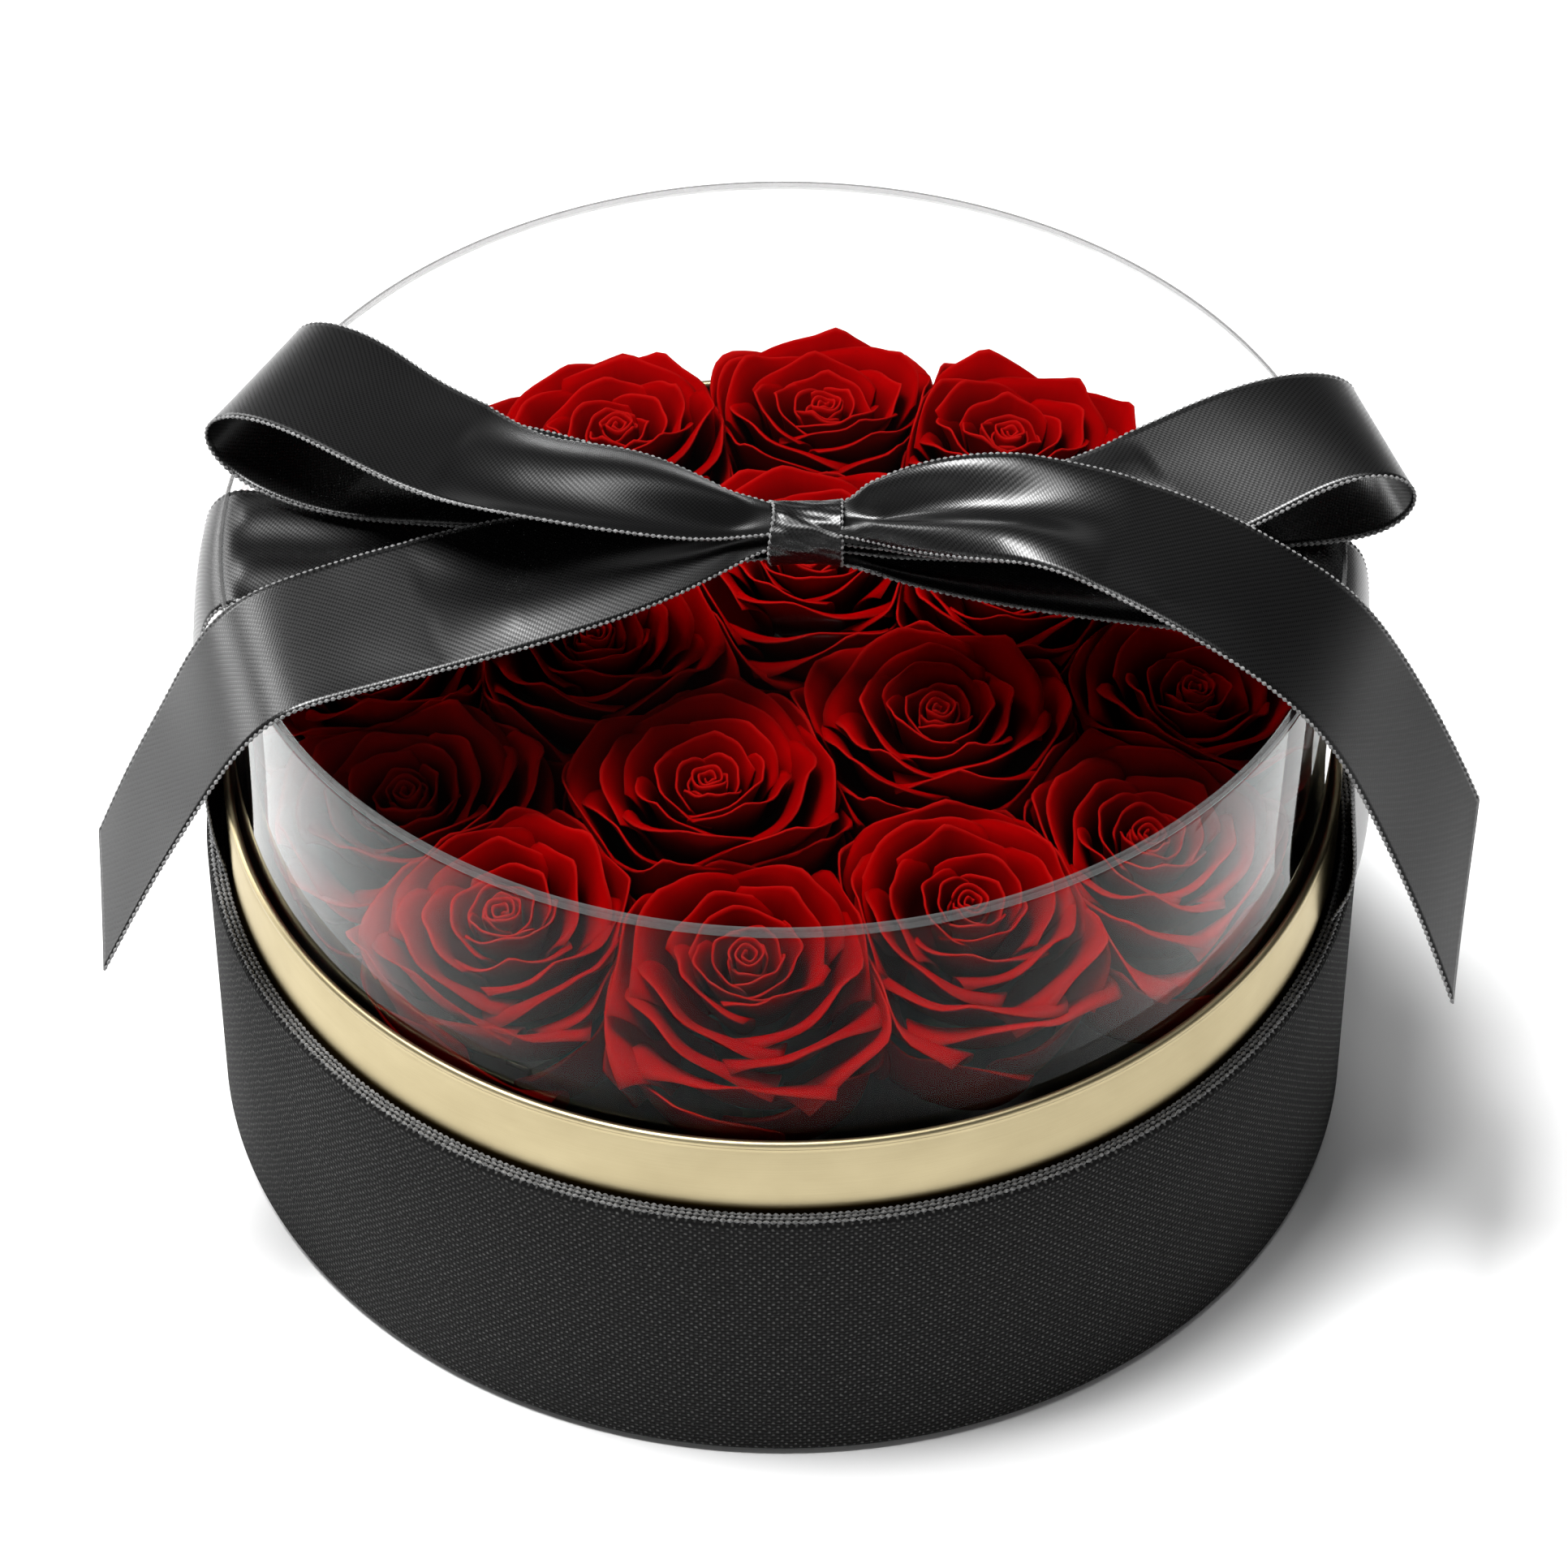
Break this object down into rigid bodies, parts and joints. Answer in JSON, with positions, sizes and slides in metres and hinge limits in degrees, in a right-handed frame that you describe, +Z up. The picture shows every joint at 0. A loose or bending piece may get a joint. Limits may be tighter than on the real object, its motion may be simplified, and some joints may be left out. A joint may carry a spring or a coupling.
{
  "type": "flower box",
  "caption": "Round cloth-covered flower box with a gilt collar, a clear lift-off lid, a bed of red roses set in dry foam, and a tied satin bow.",
  "frame": {"origin": "centre of the flat underside of the base, on the surface the box stands on", "axes": "+Z up through the lid, +X towards the right-hand loop of the bow, -Y towards the side its tails fall to"},
  "size_m": [0.2442, 0.2124, 0.1486],
  "materials": {
    "black_canvas": "matt plain-woven canvas",
    "grey_board": "matt",
    "black_card": "matt",
    "gilt_metal": "satin, finely brushed, pale gold",
    "dry_foam": "porous, matt",
    "clear_acrylic": "polished, clear",
    "rose_petal": "velvety",
    "rose_green": "matt",
    "black_satin": "satin weave with a soft sheen"
  },
  "bodies": {
    "base": {"base_lining_sheet": "black_card", "base_floor_board": "grey_board", "base_wall_board": "grey_board", "wall_cloth_cover": "black_canvas", "wall_cloth_cuff": "black_canvas", "wall_cloth_hem": "black_canvas", "slot_spacer_ring": "grey_board", "gilt_collar": "gilt_metal", "lid_ledge_sleeve": "black_card", "floral_foam": "dry_foam", "topper_card": "black_card", "rose_head_01": "rose_petal", "rose_head_02": "rose_petal", "rose_head_03": "rose_petal", "rose_head_04": "rose_petal", "rose_head_05": "rose_petal", "rose_head_06": "rose_petal", "rose_head_07": "rose_petal", "rose_head_08": "rose_petal", "rose_head_09": "rose_petal", "rose_head_10": "rose_petal", "rose_head_11": "rose_petal", "rose_head_12": "rose_petal", "rose_head_13": "rose_petal", "rose_head_14": "rose_petal", "rose_head_15": "rose_petal", "rose_head_16": "rose_petal", "rose_head_17": "rose_petal", "rose_stem_01": "rose_green", "rose_stem_02": "rose_green", "rose_stem_03": "rose_green", "rose_stem_04": "rose_green", "rose_stem_05": "rose_green", "rose_stem_06": "rose_green", "rose_stem_07": "rose_green", "rose_stem_08": "rose_green", "rose_stem_09": "rose_green", "rose_stem_10": "rose_green", "rose_stem_11": "rose_green", "rose_stem_12": "rose_green", "rose_stem_13": "rose_green", "rose_stem_14": "rose_green", "rose_stem_15": "rose_green", "rose_stem_16": "rose_green", "rose_stem_17": "rose_green"},
    "lid": {"lid_wall": "clear_acrylic", "lid_top_plate": "clear_acrylic"},
    "ribbon": {"ribbon_strap_left": "black_satin", "ribbon_strap_right": "black_satin", "bow_loop_left": "black_satin", "bow_loop_right": "black_satin", "bow_tail_left": "black_satin", "bow_tail_right": "black_satin", "bow_knot_wrap": "black_satin"}
  },
  "joints": [
    {"name": "lid_lift", "type": "slide", "parent": "base", "child": "lid", "axis": [0, 0, 1], "range_m": [0, 0.08]},
    {"name": "ribbon_pull", "type": "slide", "parent": "lid", "child": "ribbon", "axis": [0, 0, 1], "range_m": [0, 0.09]}
  ]
}
